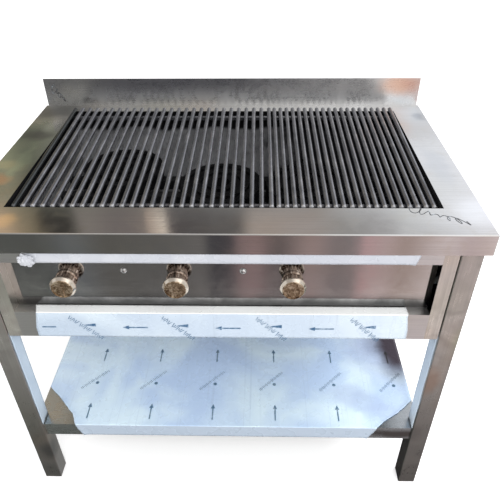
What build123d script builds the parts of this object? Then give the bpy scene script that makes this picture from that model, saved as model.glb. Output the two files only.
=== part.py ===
from build123d import *
import math
import os

# Gas charbroiler on an open stand: folded stainless deck and body, two lift-out rod grates,
# three round cast-iron burners with their valves and knobs, a pull-out grease tray and an undershelf.
# Millimetres. +X is the cook's right, +Y runs from the front to the back, +Z is up.
# The origin is on the floor under the middle of the bounding box.
# Every y in this file is a setback: the distance behind the deck's front edge.

# ------------------------------------------------------------------ driving dimensions
sheet = 1.5                 # all folded stainless sheet
deck_width = 1200
deck_depth = 737            # fascia face to rear apron face
deck_height = 940
fascia_height = 53          # folded edge all round the deck
fold_radius = 3             # outside radius of the deck's folds
backsplash_height = 87      # above the deck
backsplash_inset = 8        # from each end of the deck
hem_height = 12             # safe edge along the top of the backsplash
hem_thickness = 3.2

opening_left, opening_right = -499, 511
opening_front, opening_back = 108, 687

leg_size = 50
leg_wall = 1.5
leg_corner = 3
leg_overhang = 17           # deck beyond the legs' outer faces
leg_setback = 4
base_plate = 3
frame_tube = 25
rear_leg_back = deck_depth - leg_setback

body_bottom = 628           # lowest edge of the body panels
strip_inner, strip_outer = 497, 530
upper_rail_bottom = 858
ledge_height = 708          # top of the lower rail, where the control panel stands
panel_setback = 32
panel_right = 499           # the panel stops short of the right strip
rear_panel_back = 730.5

rod_radius = 6
rod_front, rod_back = 128, 690
rod_slope = 2               # degrees that the rods fall towards the front
left_rods, left_first, left_last = 27, -489, 121
right_rods, right_first, right_last = 20, 138, 498
cross_bar = 10              # square bars welded under the rods
cross_bar_inset = (16, 42)  # from the rods' front and rear ends
weld_sink = 0.8             # how far the rods sink into the cross bars
rest_gap = 0.3              # under the rods where they rest
support_leg = 30
narrow_support_leg = 15     # on the angles that carry no rods
support_thickness = 3

knob_height = 793
knob_positions = {"left": -359, "centre": -99, "right": 170}
knob_length = 43
knob_gap = 1                # between the knob and the panel
collar_radius, barrel_radius, rim_radius = 25, 22.5, 30
knob_face_radius = 24
knob_lip = 2                # round the sunk face
knob_recess = 1.2
knob_flutes = 18
knob_hub = 8
stem_radius = 4
stem_flat = 2.6             # distance from the stem's axis to its flat
stem_bore_depth = 26
stem_back = 64
running_fit = 0.05          # radial clearance of turning parts
panel_hole_radius = 8

burner_positions = {"left": (-326, 546), "centre": (-20, 447), "right": (232, 447)}
burner_radius = 120
burner_top = 820
burner_thickness = 44
mixing_tube_radius = 17
mixing_tube_bore = 13
mixing_tube_mouth = 95
burner_bars = (452, 547)    # middles of the two bars under the burners

manifold_radius = 13.35     # 3/4 inch pipe
manifold_bore = 10.5
manifold_setback = 72
manifold_height = 765
manifold_left, manifold_right = -420, 562
inlet_radius = 13.2         # male 3/4 inch gas thread
inlet_end = 598
valve_half_width, valve_half_height = 11, 12
valve_front, valve_back = 46, 90
valve_outlet = 66           # setback of the valve's side outlet
outlet_boss = 4             # how far the side outlet stands off the valve
nipple_radius = 6           # between a valve and the manifold
supply_pipe_radius = 4
jet_length, jet_back = 10, 90
bracket_width, bracket_thickness = 30, 2
u_bolt_wire = 2.5
screw_positions = (-222, 55)
screw_height = 816
screw_radius = 2.5
screw_hole_radius = 2.6

shelf_top = 260
shelf_lip = 48
shelf_setback = 12
shelf_half_width = 555
tray_bottom, tray_top = 585, 622
tray_front, tray_back = 60, 700

# ------------------------------------------------------------------ worked-out positions
knob_overhang = knob_length + knob_gap - panel_setback
hem_overhang = (deck_depth - 2) + hem_thickness - deck_depth
deck_front = knob_overhang - (knob_overhang + deck_depth + hem_overhang) / 2
deck_under = deck_height - sheet
fascia_bottom = deck_height - fascia_height
leg_outer = deck_width / 2 - leg_overhang
leg_inner = leg_outer - leg_size
leg_back = leg_setback + leg_size
rear_leg_front = rear_leg_back - leg_size
burner_bottom = burner_top - burner_thickness
rod_rise = math.tan(math.radians(rod_slope))
rod_rear_height = deck_height + rest_gap + rod_radius / math.cos(math.radians(rod_slope))
rod_front_height = rod_rear_height - (opening_back - rod_front) * rod_rise
support_top = rod_front_height - rod_radius - rest_gap
u_bolt_radius = manifold_radius + running_fit + u_bolt_wire


# ------------------------------------------------------------------ simple shapes
def block(x0, x1, y0, y1, z0, z1):
    """Box between two opposite corners."""
    middle = ((x0 + x1) / 2, deck_front + (y0 + y1) / 2, (z0 + z1) / 2)
    return Pos(*middle) * Box(x1 - x0, y1 - y0, z1 - z0)


def bar_x(x0, x1, y, z, radius):
    """Round bar along X."""
    return Pos((x0 + x1) / 2, deck_front + y, z) * Rot(0, 90, 0) * Cylinder(radius, x1 - x0)


def bar_y(x, y0, y1, z, radius):
    """Round bar along Y."""
    return Pos(x, deck_front + (y0 + y1) / 2, z) * Rot(90, 0, 0) * Cylinder(radius, y1 - y0)


def bar_z(x, y, z0, z1, radius):
    """Round bar along Z."""
    return Pos(x, deck_front + y, (z0 + z1) / 2) * Cylinder(radius, z1 - z0)


def hex_y(x, y0, y1, z, across_flats):
    """Hexagonal prism along Y."""
    profile = RegularPolygon(across_flats / math.sqrt(3), 6)
    return Pos(x, deck_front + y1, z) * Rot(90, 0, 0) * extrude(profile, y1 - y0)


# ------------------------------------------------------------------ deck and stand
def top_deck():
    """Deck sheet with a folded edge all round and the opening for the grates."""
    half = deck_width / 2
    outer = block(-half, half, 0, deck_depth, fascia_bottom, deck_height)
    inner = block(-half + sheet, half - sheet, sheet, deck_depth - sheet,
                  fascia_bottom - 1, deck_under)
    shells = []
    for shell, radius in ((outer, fold_radius), (inner, fold_radius - sheet)):
        top_edges = shell.faces().sort_by(Axis.Z)[-1].edges().sort_by(Axis.Y)[:-1]
        shells.append(fillet(list(shell.edges().filter_by(Axis.Z)) + list(top_edges), radius))
    opening = block(opening_left, opening_right, opening_front, opening_back,
                    fascia_bottom, deck_height + 1)
    return shells[0] - shells[1] - opening


def backsplash():
    """Upright sheet along the back of the deck, with a folded safe edge along its top."""
    half = deck_width / 2 - backsplash_inset
    face = deck_depth - 2
    top = deck_height + backsplash_height
    upright = block(-half, half, face, face + sheet, deck_height, top)
    hem = block(-half, half, face, face + hem_thickness, top - hem_height, top)
    long_top_edges = hem.faces().sort_by(Axis.Z)[-1].edges().filter_by(Axis.X)
    return upright + fillet(long_top_edges, sheet)


def leg(side, y_middle):
    """Square tube leg; side is -1 for left and +1 for right."""
    inside = leg_size - 2 * leg_wall
    profile = (RectangleRounded(leg_size, leg_size, leg_corner)
               - RectangleRounded(inside, inside, leg_corner - leg_wall))
    foot = Pos(side * (leg_outer - leg_size / 2), deck_front + y_middle, base_plate)
    return foot * extrude(profile, deck_under - base_plate)


def leg_base_plates():
    """Plates that close the bottoms of the four legs."""
    plate = extrude(RectangleRounded(leg_size, leg_size, leg_corner), base_plate)
    x = leg_outer - leg_size / 2
    return [Pos(side * x, deck_front + y, 0) * plate
            for side in (-1, 1) for y in leg_middles.values()]


def undershelf():
    """Shelf with its edges folded down, notched round the four legs."""
    bottom = shelf_top - shelf_lip
    back = deck_depth - shelf_setback
    outer = block(-shelf_half_width, shelf_half_width, shelf_setback, back, bottom, shelf_top)
    inner = block(-shelf_half_width + sheet, shelf_half_width - sheet,
                  shelf_setback + sheet, back - sheet, bottom - 1, shelf_top - sheet)
    shelf = outer - inner
    for side in (-1, 1):
        x0, x1 = sorted((side * leg_inner, side * (shelf_half_width + 1)))
        shelf -= block(x0, x1, shelf_setback - 1, leg_back, bottom - 1, shelf_top + 1)
        shelf -= block(x0, x1, rear_leg_front, back + 1, bottom - 1, shelf_top + 1)
    return shelf


def shelf_stiffener():
    """Hat section under the middle of the shelf."""
    half = shelf_half_width - sheet
    top = shelf_top - sheet
    middle = deck_depth / 2
    hat_half, flange, depth = 30, 18, 28
    hat = block(-half, half, middle - hat_half, middle + hat_half, top - depth, top)
    hat -= block(-half - 1, half + 1, middle - hat_half + sheet, middle + hat_half - sheet,
                 top - depth + sheet, top + 1)
    for y0, y1 in ((middle - hat_half - flange, middle - hat_half + sheet),
                   (middle + hat_half - sheet, middle + hat_half + flange)):
        hat += block(-half, half, y0, y1, top - sheet, top)
    return hat


def square_tube(x0, x1, y0, y1, z0, z1, along):
    """Square tube between two corners, open at both ends of the given axis."""
    grow = {axis: (1 if axis == along else -sheet) for axis in "xyz"}
    return (block(x0, x1, y0, y1, z0, z1)
            - block(x0 - grow["x"], x1 + grow["x"], y0 - grow["y"], y1 + grow["y"],
                    z0 - grow["z"], z1 + grow["z"]))


def side_frame_rail(side):
    """Tube under the deck between a front leg and a rear leg."""
    x0, x1 = sorted((side * (leg_inner + 12), side * (leg_inner + 12 + frame_tube)))
    return square_tube(x0, x1, leg_back, rear_leg_front, deck_under - frame_tube, deck_under, "y")


def rear_frame_rail():
    """Tube under the deck between the rear legs."""
    back = rear_panel_back - sheet - 3
    return square_tube(-leg_inner, leg_inner, back - frame_tube, back,
                       deck_under - frame_tube, deck_under, "x")


# ------------------------------------------------------------------ body panels
def upper_front_rail():
    """Channel behind the fascia; its lower part shows below it."""
    face, back = leg_setback, panel_setback
    channel = block(-strip_inner, strip_inner, face, face + sheet, upper_rail_bottom, deck_under)
    channel += block(-strip_inner, strip_inner, face, back,
                     upper_rail_bottom, upper_rail_bottom + sheet)
    channel += block(-strip_inner, strip_inner, face, back, deck_under - sheet, deck_under)
    return channel


def lower_front_rail():
    """Channel below the control panel; its top is the ledge that the panel stands on."""
    face, back = leg_setback, panel_setback + sheet
    channel = block(-strip_inner, strip_inner, face, face + sheet, body_bottom, ledge_height)
    channel += block(-strip_inner, strip_inner, face, back, ledge_height - sheet, ledge_height)
    channel += block(-strip_inner, strip_inner, face, back - 4, body_bottom, body_bottom + sheet)
    return channel


def front_strip(side):
    """Corner strip between the front opening and a leg, with a return beside the leg.
    The left one has a second return that meets the control panel."""
    return_back = panel_setback + 8
    strip = block(strip_inner, strip_outer, leg_setback, leg_setback + sheet,
                  body_bottom, deck_under)
    strip += block(strip_outer - sheet, strip_outer, leg_setback, return_back,
                   body_bottom, deck_under)
    if side > 0:
        return strip
    strip += block(strip_inner, strip_inner + sheet, leg_setback, panel_setback,
                   body_bottom, deck_under)
    return mirror(strip, Plane.YZ)


def control_panel():
    """Recessed upright panel with holes for the valves and its two screws."""
    left = -strip_outer + sheet
    panel = block(left, panel_right, panel_setback, panel_setback + sheet,
                  ledge_height, deck_under)
    for x in knob_positions.values():
        panel -= bar_y(x, panel_setback - 1, panel_setback + 3, knob_height, panel_hole_radius)
    for x in screw_positions:
        panel -= bar_y(x, panel_setback - 1, panel_setback + 3, screw_height, screw_hole_radius)
    return panel


def side_panel(side):
    """Side sheet between a front and a rear leg, folded in at the bottom towards the firebox.
    The right one lets the gas inlet through."""
    outer, fold_inner, inlet_clearance = leg_outer - 3, 517, 1.5
    panel = block(outer - sheet, outer, leg_back, rear_leg_front, body_bottom, deck_under)
    panel += block(fold_inner, outer, leg_back, rear_leg_front, body_bottom, body_bottom + sheet)
    if side > 0:
        return panel - bar_x(outer - 5, outer + 5, manifold_setback, manifold_height,
                             manifold_radius + inlet_clearance)
    return mirror(panel, Plane.YZ)


def rear_panel():
    """Back sheet between the rear legs, with a row of vent slots."""
    panel = block(-leg_inner, leg_inner, rear_panel_back - sheet, rear_panel_back,
                  body_bottom, deck_under)
    slots, slot_pitch, slot_length, slot_height, slot_z = 9, 105, 70, 8, 860
    for i in range(slots):
        x = (i - (slots - 1) / 2) * slot_pitch
        panel -= block(x - slot_length / 2, x + slot_length / 2,
                       rear_panel_back - 5, rear_panel_back + 5, slot_z, slot_z + slot_height)
    return panel


# ------------------------------------------------------------------ firebox and grates
def firebox_front_wall():
    """Front wall of the firebox, pierced by the three mixing tubes."""
    wall = block(opening_left - sheet, opening_right + sheet, opening_front - sheet, opening_front,
                 body_bottom, deck_under)
    for x, _ in burner_positions.values():
        wall -= bar_y(x, opening_front - 5, opening_front + 5, knob_height, mixing_tube_radius + 1)
    return wall


def firebox_rear_wall():
    """Rear wall of the firebox."""
    return block(opening_left - sheet, opening_right + sheet, opening_back, opening_back + sheet,
                 body_bottom, deck_under)


def firebox_side_wall(inner_face, outer_face):
    """Left or right wall of the firebox."""
    x0, x1 = sorted((inner_face, outer_face))
    return block(x0, x1, opening_front, opening_back, body_bottom, deck_under)


def grate_support(at_front):
    """Angle along the front or rear wall. The rods' front ends rest on the front one, and
    their rear ends rest on the deck's edge."""
    wall, inward = (opening_front, 1) if at_front else (opening_back, -1)
    ledge = sorted((wall, wall + inward * (support_leg if at_front else narrow_support_leg)))
    flange = sorted((wall, wall + inward * support_thickness))
    return (block(opening_left, opening_right, *ledge, support_top - support_thickness, support_top)
            + block(opening_left, opening_right, *flange, support_top - support_leg, support_top))


def side_grate_support(at_left):
    """Angle along the left or right wall, below the ends of the grates' cross bars."""
    wall, inward = (opening_left, 1) if at_left else (opening_right, -1)
    y0, y1, top = opening_front + support_leg, opening_back - narrow_support_leg, support_top - 12
    ledge = sorted((wall, wall + inward * narrow_support_leg))
    flange = sorted((wall, wall + inward * support_thickness))
    return (block(*ledge, y0, y1, top - support_thickness, top)
            + block(*flange, y0, y1, top - support_leg, top))


def grate(rods, first, last):
    """Round rods with rounded ends, welded on two square cross bars, falling to the front."""
    length = rod_back - rod_front
    rod = Rot(90, 0, 0) * Cylinder(rod_radius, length)
    rod = Pos(0, length / 2, 0) * fillet(rod.edges().filter_by(GeomType.CIRCLE), rod_radius * 0.7)
    pitch = (last - first) / (rods - 1)
    welded = [Pos(first + i * pitch, 0, 0) * rod for i in range(rods)]
    width = last - first + 2 * rod_radius
    bar = Box(width, cross_bar, cross_bar)
    bar_middle = -rod_radius + weld_sink - cross_bar / 2
    near, far = cross_bar_inset
    for y in (near + cross_bar / 2, length - far - cross_bar / 2):
        welded.append(Pos((first + last) / 2, y, bar_middle) * bar)
    front_end = Pos(0, deck_front + rod_front, rod_front_height) * Rot(rod_slope, 0, 0)
    return front_end * (Part() + welded)


def grease_tray():
    """Shallow tray under the burners, with a folded finger lip along its front."""
    x0, x1 = opening_left + 1, opening_right - 1
    tray = block(x0, x1, tray_front, tray_back, tray_bottom, tray_top)
    tray -= block(x0 + sheet, x1 - sheet, tray_front + sheet, tray_back - sheet,
                  tray_bottom + sheet, tray_top + 1)
    lip_depth, lip_drop = 15, 10
    tray += block(x0, x1, tray_front - lip_depth, tray_front, tray_top - sheet, tray_top)
    tray += block(x0, x1, tray_front - lip_depth, tray_front - lip_depth + sheet,
                  tray_top - lip_drop, tray_top)
    return tray


def tray_runner(at_left):
    """Angle on the outside of a firebox wall that the grease tray slides on."""
    wall, inward = (opening_left - sheet, 1) if at_left else (opening_right + sheet, -1)
    plate = sorted((wall - inward * sheet, wall))
    ledge = sorted((wall - inward * sheet, wall + inward * 22))
    y0, y1, runner_top = leg_back, opening_back, body_bottom + 32
    return (block(*plate, y0, y1, tray_bottom - sheet, runner_top)
            + block(*ledge, y0, y1, tray_bottom - sheet, tray_bottom))


# ------------------------------------------------------------------ burners and gas train
def burner(x, y):
    """Cast-iron burner: a round head with two raised port rings and a straight mixing tube."""
    middle_z = (burner_top + burner_bottom) / 2
    centre = Pos(x, deck_front + y, 0)
    head = Cylinder(burner_radius, burner_thickness)
    head = fillet(head.edges().filter_by(GeomType.CIRCLE), 3)
    casting = centre * Pos(0, 0, middle_z) * head
    casting += bar_y(x, mixing_tube_mouth, y - burner_radius / 2, knob_height, mixing_tube_radius)
    casting -= bar_y(x, mixing_tube_mouth - 1, y - burner_radius, knob_height, mixing_tube_bore)
    hub_hole, groove_depth = 26, 8
    casting -= centre * Pos(0, 0, middle_z) * Cylinder(hub_hole, burner_thickness + 2)
    for inner, outer in ((44, 60), (84, 100)):
        groove = Cylinder(outer, groove_depth * 2) - Cylinder(inner, groove_depth * 2)
        casting -= centre * Pos(0, 0, burner_top) * groove
    port_radius, port_depth = 2, 4
    for ring_radius, ports in ((72, 24), (109, 36)):
        for place in PolarLocations(ring_radius, ports):
            casting -= centre * Pos(0, 0, burner_top) * place * Cylinder(port_radius, port_depth * 2)
    return casting


def burner_bar(y):
    """Angle across the firebox that carries the burners."""
    half = support_leg / 2
    top = burner_bottom
    return (block(opening_left, opening_right, y - half, y + half, top - support_thickness, top)
            + block(opening_left, opening_right, y - half, y - half + support_thickness,
                    top - support_leg, top))


def air_shutters():
    """Rings on the mouths of the mixing tubes."""
    front, thickness, outer = mixing_tube_mouth + 3, 3, 24
    return [bar_y(x, front, front + thickness, knob_height, outer)
            - bar_y(x, front - 1, front + thickness + 1, knob_height,
                    mixing_tube_radius + running_fit)
            for x, _ in burner_positions.values()]


def gas_jets():
    """Brass jets that end just inside the mixing tubes."""
    jets = []
    across_flats, nose_length = 14, 8
    for x, _ in burner_positions.values():
        nose = Pos(x, deck_front + jet_back + nose_length / 2, knob_height) * Rot(-90, 0, 0)
        jets.append(hex_y(x, jet_back - jet_length, jet_back, knob_height, across_flats)
                    + nose * Cone(3.5, 1.5, nose_length))
    return jets


def supply_pipe(side):
    """Bent tube from a valve's side outlet to its jet."""
    start = knob_positions[side] + valve_half_width + outlet_boss
    end = burner_positions[side][0]
    bend = 10
    y0, y1 = deck_front + valve_outlet, deck_front + jet_back - jet_length
    path = FilletPolyline((start, y0, knob_height), (end, y0, knob_height),
                          (end, y1, knob_height), radius=bend)
    ring = Circle(supply_pipe_radius) - Circle(supply_pipe_radius - 1)
    return sweep(Plane(origin=(start, y0, knob_height), z_dir=(1, 0, 0)) * ring, path=path)


def valve(x):
    """Brass tap: square body, round neck for the stem, side outlet and inlet nipple."""
    body = block(x - valve_half_width, x + valve_half_width, valve_front, valve_back,
                 knob_height - valve_half_height, knob_height + valve_half_height)
    body = fillet(body.edges().filter_by(Axis.Y), 2)
    body += bar_y(x, valve_front - 8, valve_front, knob_height, panel_hole_radius)
    body += bar_x(x, x + valve_half_width + outlet_boss, valve_outlet, knob_height, 7)
    nipple_bottom = manifold_height + manifold_bore - 1
    body += bar_z(x, manifold_setback, nipple_bottom, knob_height, nipple_radius)
    return body - bar_y(x, valve_front - 9, stem_back, knob_height, stem_radius + running_fit)


def manifold():
    """Gas pipe behind the control panel, fed from the cook's right."""
    pipe = bar_x(manifold_left, manifold_right, manifold_setback, manifold_height,
                 manifold_radius)
    pipe -= bar_x(manifold_left - 1, manifold_right + 1, manifold_setback, manifold_height,
                  manifold_bore)
    for x in knob_positions.values():
        pipe -= bar_z(x, manifold_setback, manifold_height, manifold_height + 20,
                      nipple_radius + running_fit)
    return pipe


def gas_inlet():
    """Inlet nipple: a hexagon over the end of the manifold and a male end out of the side."""
    socket, hexagon_end, across_flats = 9, manifold_right + 6, 30
    centre = Pos(0, deck_front + manifold_setback, manifold_height)
    hexagon = extrude(RegularPolygon(across_flats / math.sqrt(3), 6), hexagon_end
                      - manifold_right + socket)
    nipple = centre * Pos(manifold_right - socket, 0, 0) * Rot(0, 90, 0) * hexagon
    male_end = Pos((hexagon_end + inlet_end) / 2, 0, 0) * Rot(0, 90, 0) * Cylinder(
        inlet_radius, inlet_end - hexagon_end)
    tip = male_end.edges().filter_by(GeomType.CIRCLE).sort_by(Axis.X)[-1]
    nipple += centre * chamfer(tip, 1)
    nipple -= bar_x(manifold_right - socket - 1, inlet_end + 1, manifold_setback,
                    manifold_height, manifold_bore)
    return nipple - bar_x(manifold_right - socket - 1, manifold_right, manifold_setback,
                          manifold_height, manifold_radius + running_fit)


def manifold_cap():
    """Cap on the blind end of the manifold."""
    wall, depth = 3.5, 16
    end = manifold_left - wall
    cap = bar_x(end, manifold_left + depth, manifold_setback, manifold_height,
                manifold_radius + wall)
    return cap - bar_x(manifold_left, manifold_left + depth + 1, manifold_setback,
                       manifold_height, manifold_radius + running_fit)


def manifold_bracket(x):
    """One angle between the control panel and the manifold."""
    x0, x1 = x - bracket_width / 2, x + bracket_width / 2
    top = manifold_height - manifold_radius
    bottom = top - bracket_thickness
    face = panel_setback + sheet
    bracket = block(x0, x1, face, face + bracket_thickness, bottom, screw_height + 14)
    bracket += block(x0, x1, face, manifold_setback + 22, bottom, top)
    bracket -= bar_y(x, face - 1, face + 3, screw_height, screw_hole_radius)
    for side in (-1, 1):
        bracket -= bar_z(x, manifold_setback + side * u_bolt_radius, bottom - 1, top + 1,
                         u_bolt_wire + 0.1)
    return bracket


def manifold_u_bolts():
    """U-bolts that clamp the manifold to its brackets."""
    bolts = []
    low = manifold_height - manifold_radius - 10
    for x in screw_positions:
        bow = Pos(x, deck_front + manifold_setback, manifold_height) * Rot(0, 90, 0)
        bolt = bow * Torus(u_bolt_radius, u_bolt_wire)
        bolt -= block(x - 10, x + 10, manifold_setback - 30, manifold_setback + 30,
                      manifold_height - 30, manifold_height)
        for side in (-1, 1):
            bolt += bar_z(x, manifold_setback + side * u_bolt_radius, low, manifold_height,
                          u_bolt_wire)
        bolts.append(bolt)
    return bolts


def u_bolt_nuts():
    """Hexagon nuts under the manifold brackets."""
    top = manifold_height - manifold_radius - bracket_thickness
    height, across_flats = 4, 8
    nut = (extrude(RegularPolygon(across_flats / math.sqrt(3), 6), height)
           - Cylinder(u_bolt_wire + running_fit, height * 3))
    return [Pos(x, deck_front + manifold_setback + side * u_bolt_radius, top - height) * nut
            for x in screw_positions for side in (-1, 1)]


def panel_screws():
    """Domed screws through the control panel into the manifold brackets."""
    head_radius, head_height, shank_end = 8.5, 5.5, 44
    screws = []
    for x in screw_positions:
        ball = (head_radius ** 2 + head_height ** 2) / (2 * head_height)
        dome = Pos(x, deck_front + panel_setback - head_height + ball, screw_height) * Sphere(ball)
        dome &= block(x - 10, x + 10, panel_setback - head_height, panel_setback,
                      screw_height - 10, screw_height + 10)
        screws.append(dome + bar_y(x, panel_setback - 1, shank_end, screw_height, screw_radius))
    return screws


def panel_screw_nuts():
    """Nuts behind the manifold brackets."""
    front = panel_setback + sheet + bracket_thickness
    return [hex_y(x, front, front + 4, screw_height, 8)
            - bar_y(x, front - 1, front + 5, screw_height, screw_radius + running_fit)
            for x in screw_positions]


# ------------------------------------------------------------------ knobs
def valve_stem(x):
    """Round stem with a flat where the knob sits."""
    tip = panel_setback - knob_gap - stem_bore_depth + 1
    stem = bar_y(x, tip, stem_back - 1, knob_height, stem_radius)
    flat = block(x - 10, x + 10, tip - 1, panel_setback - knob_gap,
                 knob_height + stem_flat, knob_height + 10)
    return stem - flat


def knob(x):
    """Hollow knob: collar, waisted barrel with flutes, a flared rim and a cone that narrows to
    a sunk face with a pointer across it."""
    collar, flare_start, flare_end, rim_end = 4, 21, 31, 34.5
    profile = Polyline((0, 0), (collar_radius, 0), (collar_radius, collar),
                       (barrel_radius, collar + 2), (barrel_radius, flare_start),
                       (rim_radius, flare_end), (rim_radius, rim_end),
                       (knob_face_radius, knob_length), (0, knob_length), close=True)
    turned = revolve(Plane.XZ * make_face(profile), Axis.Z)
    turned = fillet(turned.faces().sort_by(Axis.Z)[-1].edges(), 1.2)
    flute_radius, flute_depth = 2.6, 1.2
    flute = Pos(0, 0, (collar + flare_start) / 2 + 4) * Cylinder(flute_radius, flare_start)
    for place in PolarLocations(barrel_radius + flute_radius - flute_depth, knob_flutes):
        turned -= place * flute
    sunk_radius = knob_face_radius - knob_lip
    sunk_face = Pos(0, 0, knob_length) * Cylinder(sunk_radius, knob_recess * 2)
    pointer_width = 5
    pointer = Pos(0, 0, knob_length) * Box(pointer_width, 2 * sunk_radius, knob_recess * 2)
    turned -= sunk_face - pointer
    wall = 4
    hollow = (Cylinder(barrel_radius - wall, stem_bore_depth * 2)
              - Cylinder(knob_hub, stem_bore_depth * 3))
    turned -= hollow
    bore = Cylinder(stem_radius + 0.02, stem_bore_depth * 2)
    bore -= Pos(0, stem_flat + 0.02 + 5, 0) * Box(20, 10, stem_bore_depth * 3)
    turned -= bore
    return Pos(x, deck_front + panel_setback - knob_gap, knob_height) * Rot(90, 0, 0) * turned


# ------------------------------------------------------------------ nodes
leg_middles = {"front": leg_setback + leg_size / 2, "rear": rear_leg_back - leg_size / 2}
sides = {"left": -1, "right": 1}

nodes = {
    "top_deck": top_deck(),
    "backsplash": backsplash(),
    "leg_base_plates": leg_base_plates(),
    "undershelf": undershelf(),
    "shelf_stiffener": shelf_stiffener(),
    "frame_rail_rear": rear_frame_rail(),
    "upper_front_rail": upper_front_rail(),
    "lower_front_rail": lower_front_rail(),
    "control_panel": control_panel(),
    "rear_panel": rear_panel(),
    "firebox_front_wall": firebox_front_wall(),
    "firebox_rear_wall": firebox_rear_wall(),
    "firebox_left_wall": firebox_side_wall(opening_left, opening_left - sheet),
    "firebox_right_wall": firebox_side_wall(opening_right, opening_right + sheet),
    "grate_support_front": grate_support(True),
    "grate_support_rear": grate_support(False),
    "grate_support_left": side_grate_support(True),
    "grate_support_right": side_grate_support(False),
    "grate_left": grate(left_rods, left_first, left_last),
    "grate_right": grate(right_rods, right_first, right_last),
    "grease_tray": grease_tray(),
    "tray_runner_left": tray_runner(True),
    "tray_runner_right": tray_runner(False),
    "burner_bar_front": burner_bar(burner_bars[0]),
    "burner_bar_rear": burner_bar(burner_bars[1]),
    "air_shutters": air_shutters(),
    "gas_jets": gas_jets(),
    "gas_manifold": manifold(),
    "manifold_cap": manifold_cap(),
    "gas_inlet": gas_inlet(),
    "manifold_brackets": [manifold_bracket(x) for x in screw_positions],
    "manifold_u_bolts": manifold_u_bolts(),
    "u_bolt_nuts": u_bolt_nuts(),
    "panel_screws": panel_screws(),
    "panel_screw_nuts": panel_screw_nuts(),
}
for name, side in sides.items():
    nodes[f"frame_rail_{name}"] = side_frame_rail(side)
    nodes[f"front_strip_{name}"] = front_strip(side)
    nodes[f"side_panel_{name}"] = side_panel(side)
    for end, middle in leg_middles.items():
        nodes[f"leg_{end}_{name}"] = leg(side, middle)
for name, x in knob_positions.items():
    nodes[f"valve_{name}"] = valve(x)
    nodes[f"valve_stem_{name}"] = valve_stem(x)
    nodes[f"knob_{name}"] = knob(x)
    nodes[f"burner_{name}"] = burner(*burner_positions[name])
    nodes[f"supply_pipe_{name}"] = supply_pipe(name)

os.makedirs("parts", exist_ok=True)
for name, shape in nodes.items():
    whole = Compound(children=list(shape)) if isinstance(shape, list) else shape
    whole.label = name
    export_step(whole, f"parts/{name}.step")
print(len(nodes), "nodes written")
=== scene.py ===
import math

import bmesh
import bpy
from mathutils import Matrix, Vector, noise


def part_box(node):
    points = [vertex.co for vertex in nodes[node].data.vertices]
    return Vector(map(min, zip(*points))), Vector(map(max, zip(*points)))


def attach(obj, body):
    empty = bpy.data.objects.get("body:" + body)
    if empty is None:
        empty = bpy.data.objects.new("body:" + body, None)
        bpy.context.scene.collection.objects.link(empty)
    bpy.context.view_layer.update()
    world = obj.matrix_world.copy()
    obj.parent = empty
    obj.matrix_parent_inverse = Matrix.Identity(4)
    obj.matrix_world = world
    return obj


# Looks of the gas charbroiler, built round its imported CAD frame. Metres, in the frame of the CAD:
# +X is the cook's right, +Y runs from the front to the back, +Z is up.

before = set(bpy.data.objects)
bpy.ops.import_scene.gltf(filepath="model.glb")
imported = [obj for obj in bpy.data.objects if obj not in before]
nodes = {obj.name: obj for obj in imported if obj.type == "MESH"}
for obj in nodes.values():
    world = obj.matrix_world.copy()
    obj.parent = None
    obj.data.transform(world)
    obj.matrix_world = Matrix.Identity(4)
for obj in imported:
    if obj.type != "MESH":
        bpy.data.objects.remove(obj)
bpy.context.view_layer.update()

deck_lo, deck_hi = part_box("top_deck")
front = deck_lo.y           # the deck's front edge; setbacks are measured from it
scene = bpy.context.scene


# ------------------------------------------------------------------ camera
def make_camera():
    """Camera at the height and angle of a standing person's phone."""
    focal_share = 1.0807            # focal length over the picture's width
    camera_data = bpy.data.cameras.new("camera")
    camera_data.sensor_width = 36
    camera_data.lens = camera_data.sensor_width * focal_share
    camera_data.shift_x, camera_data.shift_y = 0.0073, 0.0061
    camera_data.clip_end = 100
    camera = bpy.data.objects.new("camera", camera_data)
    scene.collection.objects.link(camera)
    pitch, yaw, roll = (math.radians(a) for a in (36.393, -1.572, -0.645))
    forward = Vector((math.sin(yaw) * math.cos(pitch), math.cos(yaw) * math.cos(pitch),
                      -math.sin(pitch)))
    level = Vector((math.cos(yaw), -math.sin(yaw), 0))
    above = level.cross(forward)
    right = math.cos(roll) * level + math.sin(roll) * above
    up = math.cos(roll) * above - math.sin(roll) * level
    turn = Matrix((right, up, -forward)).transposed().to_4x4()
    camera.matrix_world = Matrix.Translation((0.0902, front - 0.9475, 1.5899)) @ turn
    scene.camera = camera


# ------------------------------------------------------------------ shader building
SWIRL_REACH = (0.03, 0.03, 0.01)    # how far the outlines of painted patches and dulled places wander, along each axis
BRUSHING = 0.6                      # how strongly brushed steel stretches its reflections


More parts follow.
